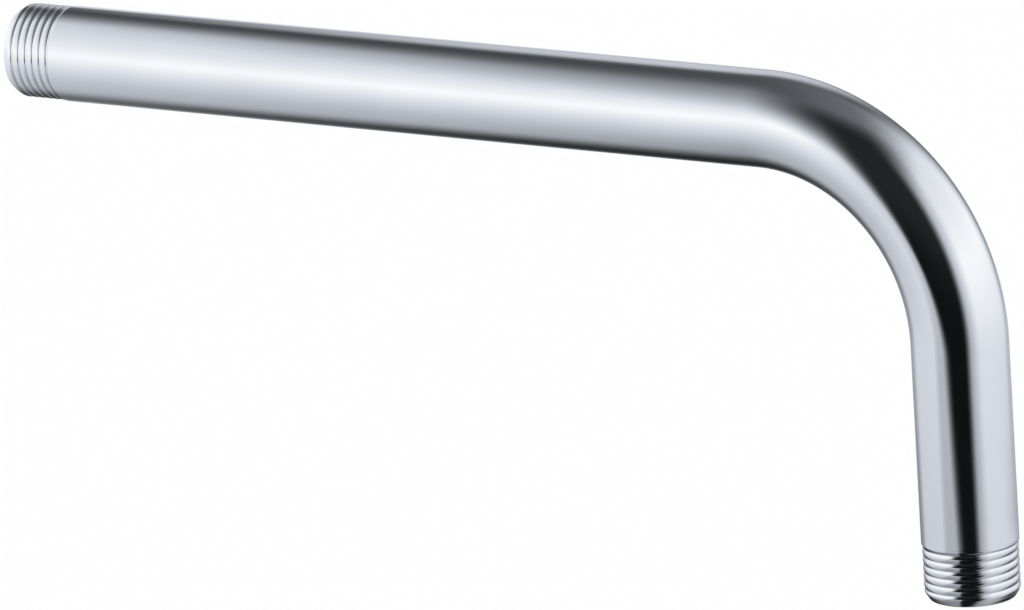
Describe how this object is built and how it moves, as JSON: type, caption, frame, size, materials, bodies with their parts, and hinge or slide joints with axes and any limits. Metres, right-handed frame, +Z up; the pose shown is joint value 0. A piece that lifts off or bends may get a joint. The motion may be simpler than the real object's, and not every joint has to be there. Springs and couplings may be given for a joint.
{
  "type": "shower arm adapter",
  "caption": "Bent shower arm: a polished chrome pipe with a right-angle bend and a half-inch pipe thread on each end, which carries water from a wall outlet down to a shower head.",
  "frame": {"origin": "centre of the wall end's face", "axes": "+X along the long leg, away from the wall; +Z up; the short leg comes down along -Z; the XZ plane halves the pipe lengthwise"},
  "size_m": [0.2462, 0.0212, 0.1134],
  "materials": {
    "chrome": "polished"
  },
  "bodies": {
    "root": {"shower_arm": "chrome"}
  },
  "joints": []
}
